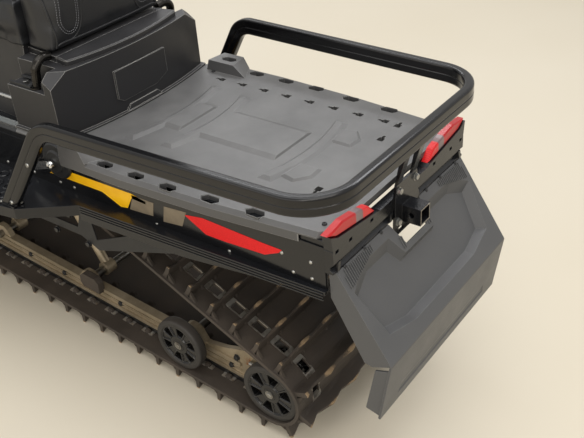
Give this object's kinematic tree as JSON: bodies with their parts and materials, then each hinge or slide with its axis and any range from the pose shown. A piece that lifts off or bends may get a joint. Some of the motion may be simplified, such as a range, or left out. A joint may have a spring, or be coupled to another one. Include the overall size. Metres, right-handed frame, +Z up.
{
  "type": "wide-track utility snowmobile",
  "caption": "Two-up utility snowmobile with a long wide track, flat cargo deck inside a bent tube rack, hitch receiver, snow flap, storage box, seat, hood and steered skis.",
  "frame": {"origin": "on the floor, midway between the snow flap and the ski tips, on the centre line", "axes": "+X forwards, +Y to the rider's left, +Z up"},
  "size_m": [3.3319, 1.114, 1.42],
  "materials": {
    "black_powder_coat": "satin black powder coat on aluminium",
    "clear_shield": "smoked clear polycarbonate",
    "deck_plastic": "moulded dark grey plastic",
    "engine_alloy": "cast",
    "flap_plastic": "moulded grey plastic, fine grain",
    "forged_steel": "forged, painted",
    "headlamp_clear": "clear lens",
    "hitch_steel": "black painted steel",
    "hood_gloss": "moulded black plastic",
    "rail_bronze": "bronze anodised extrusion",
    "red_lens": "red moulded lens",
    "seat_vinyl": "dark grey grained vinyl",
    "shaft_steel": "zinc plated steel",
    "shock_steel": "damper body and springs",
    "side_panel_graphics": "black panel with yellow, bronze and red bands",
    "ski_plastic": "moulded black plastic",
    "track_rubber": "moulded rubber with mud on the lugs",
    "wheel_plastic": "black nylon with rubber tyre"
  },
  "bodies": {
    "machine": {"belly_pan": "flap_plastic", "board_braces": "black_powder_coat", "cargo_deck": "deck_plastic", "cargo_rack": "black_powder_coat", "console": "deck_plastic", "cross_shafts": "shaft_steel", "drive_axle": "shaft_steel", "engine_block": "engine_alloy", "front_bumper": "black_powder_coat", "front_frame": "black_powder_coat", "front_shocks": "shock_steel", "grab_handles": "black_powder_coat", "headlamps": "headlamp_clear", "hitch_receiver": "hitch_steel", "hood": "hood_gloss", "idler_wheels": "wheel_plastic", "left_control_arms": "black_powder_coat", "left_running_board": "black_powder_coat", "left_side_cowl": "hood_gloss", "left_side_panel": "side_panel_graphics", "nose_panel": "hood_gloss", "passenger_backrest": "seat_vinyl", "passenger_seat": "seat_vinyl", "rear_shocks": "shock_steel", "rider_seat": "seat_vinyl", "right_control_arms": "black_powder_coat", "right_running_board": "black_powder_coat", "right_side_cowl": "hood_gloss", "right_side_panel": "side_panel_graphics", "seat_base": "deck_plastic", "slide_rails": "rail_bronze", "snow_flap": "flap_plastic", "storage_box": "deck_plastic", "suspension_arms": "black_powder_coat", "tail_bracket": "black_powder_coat", "tail_lamps": "red_lens", "track": "track_rubber", "tunnel": "black_powder_coat", "windshield": "clear_shield"},
    "handlebar_unit": {"handlebar": "black_powder_coat"},
    "left_ski_unit": {"left_ski": "ski_plastic", "left_ski_post": "forged_steel"},
    "right_ski_unit": {"right_ski": "ski_plastic", "right_ski_post": "forged_steel"},
    "left_tie_unit": {"left_tie_rod": "shaft_steel"},
    "right_tie_unit": {"right_tie_rod": "shaft_steel"},
    "lid_unit": {"storage_lid": "deck_plastic"}
  },
  "joints": [
    {"name": "handlebar_turn", "type": "hinge", "parent": "machine", "child": "handlebar_unit", "pos_m": [0.137, 0, 1.085], "axis": [-0.5105, 0, 0.8599], "range_deg": [-35, 35]},
    {"name": "left_ski_steer", "type": "hinge", "parent": "machine", "child": "left_ski_unit", "pos_m": [1.037, 0.47, 0.105], "axis": [-0.1736, 0, 0.9848], "range_deg": [-30.5, 30.5]},
    {"name": "right_ski_steer", "type": "hinge", "parent": "machine", "child": "right_ski_unit", "pos_m": [1.037, -0.47, 0.105], "axis": [-0.1736, 0, 0.9848], "range_deg": [-30.5, 30.5]},
    {"name": "left_tie_rod_shift", "type": "slide", "parent": "machine", "child": "left_tie_unit", "axis": [0, 1, 0], "range_m": [-0.045, 0.045]},
    {"name": "right_tie_rod_shift", "type": "slide", "parent": "machine", "child": "right_tie_unit", "axis": [0, 1, 0], "range_m": [-0.045, 0.045]},
    {"name": "storage_lid_hinge", "type": "hinge", "parent": "machine", "child": "lid_unit", "pos_m": [-0.68267, 0, 0.78226], "axis": [0, 1, 0], "range_deg": [0, 85]}
  ],
  "couplings": [
    {"joint": "left_ski_steer", "follows": "handlebar_turn", "ratio": 0.857},
    {"joint": "right_ski_steer", "follows": "handlebar_turn", "ratio": 0.857},
    {"joint": "left_tie_rod_shift", "follows": "handlebar_turn", "m_per_rad": -0.0709},
    {"joint": "right_tie_rod_shift", "follows": "handlebar_turn", "m_per_rad": -0.0709}
  ]
}
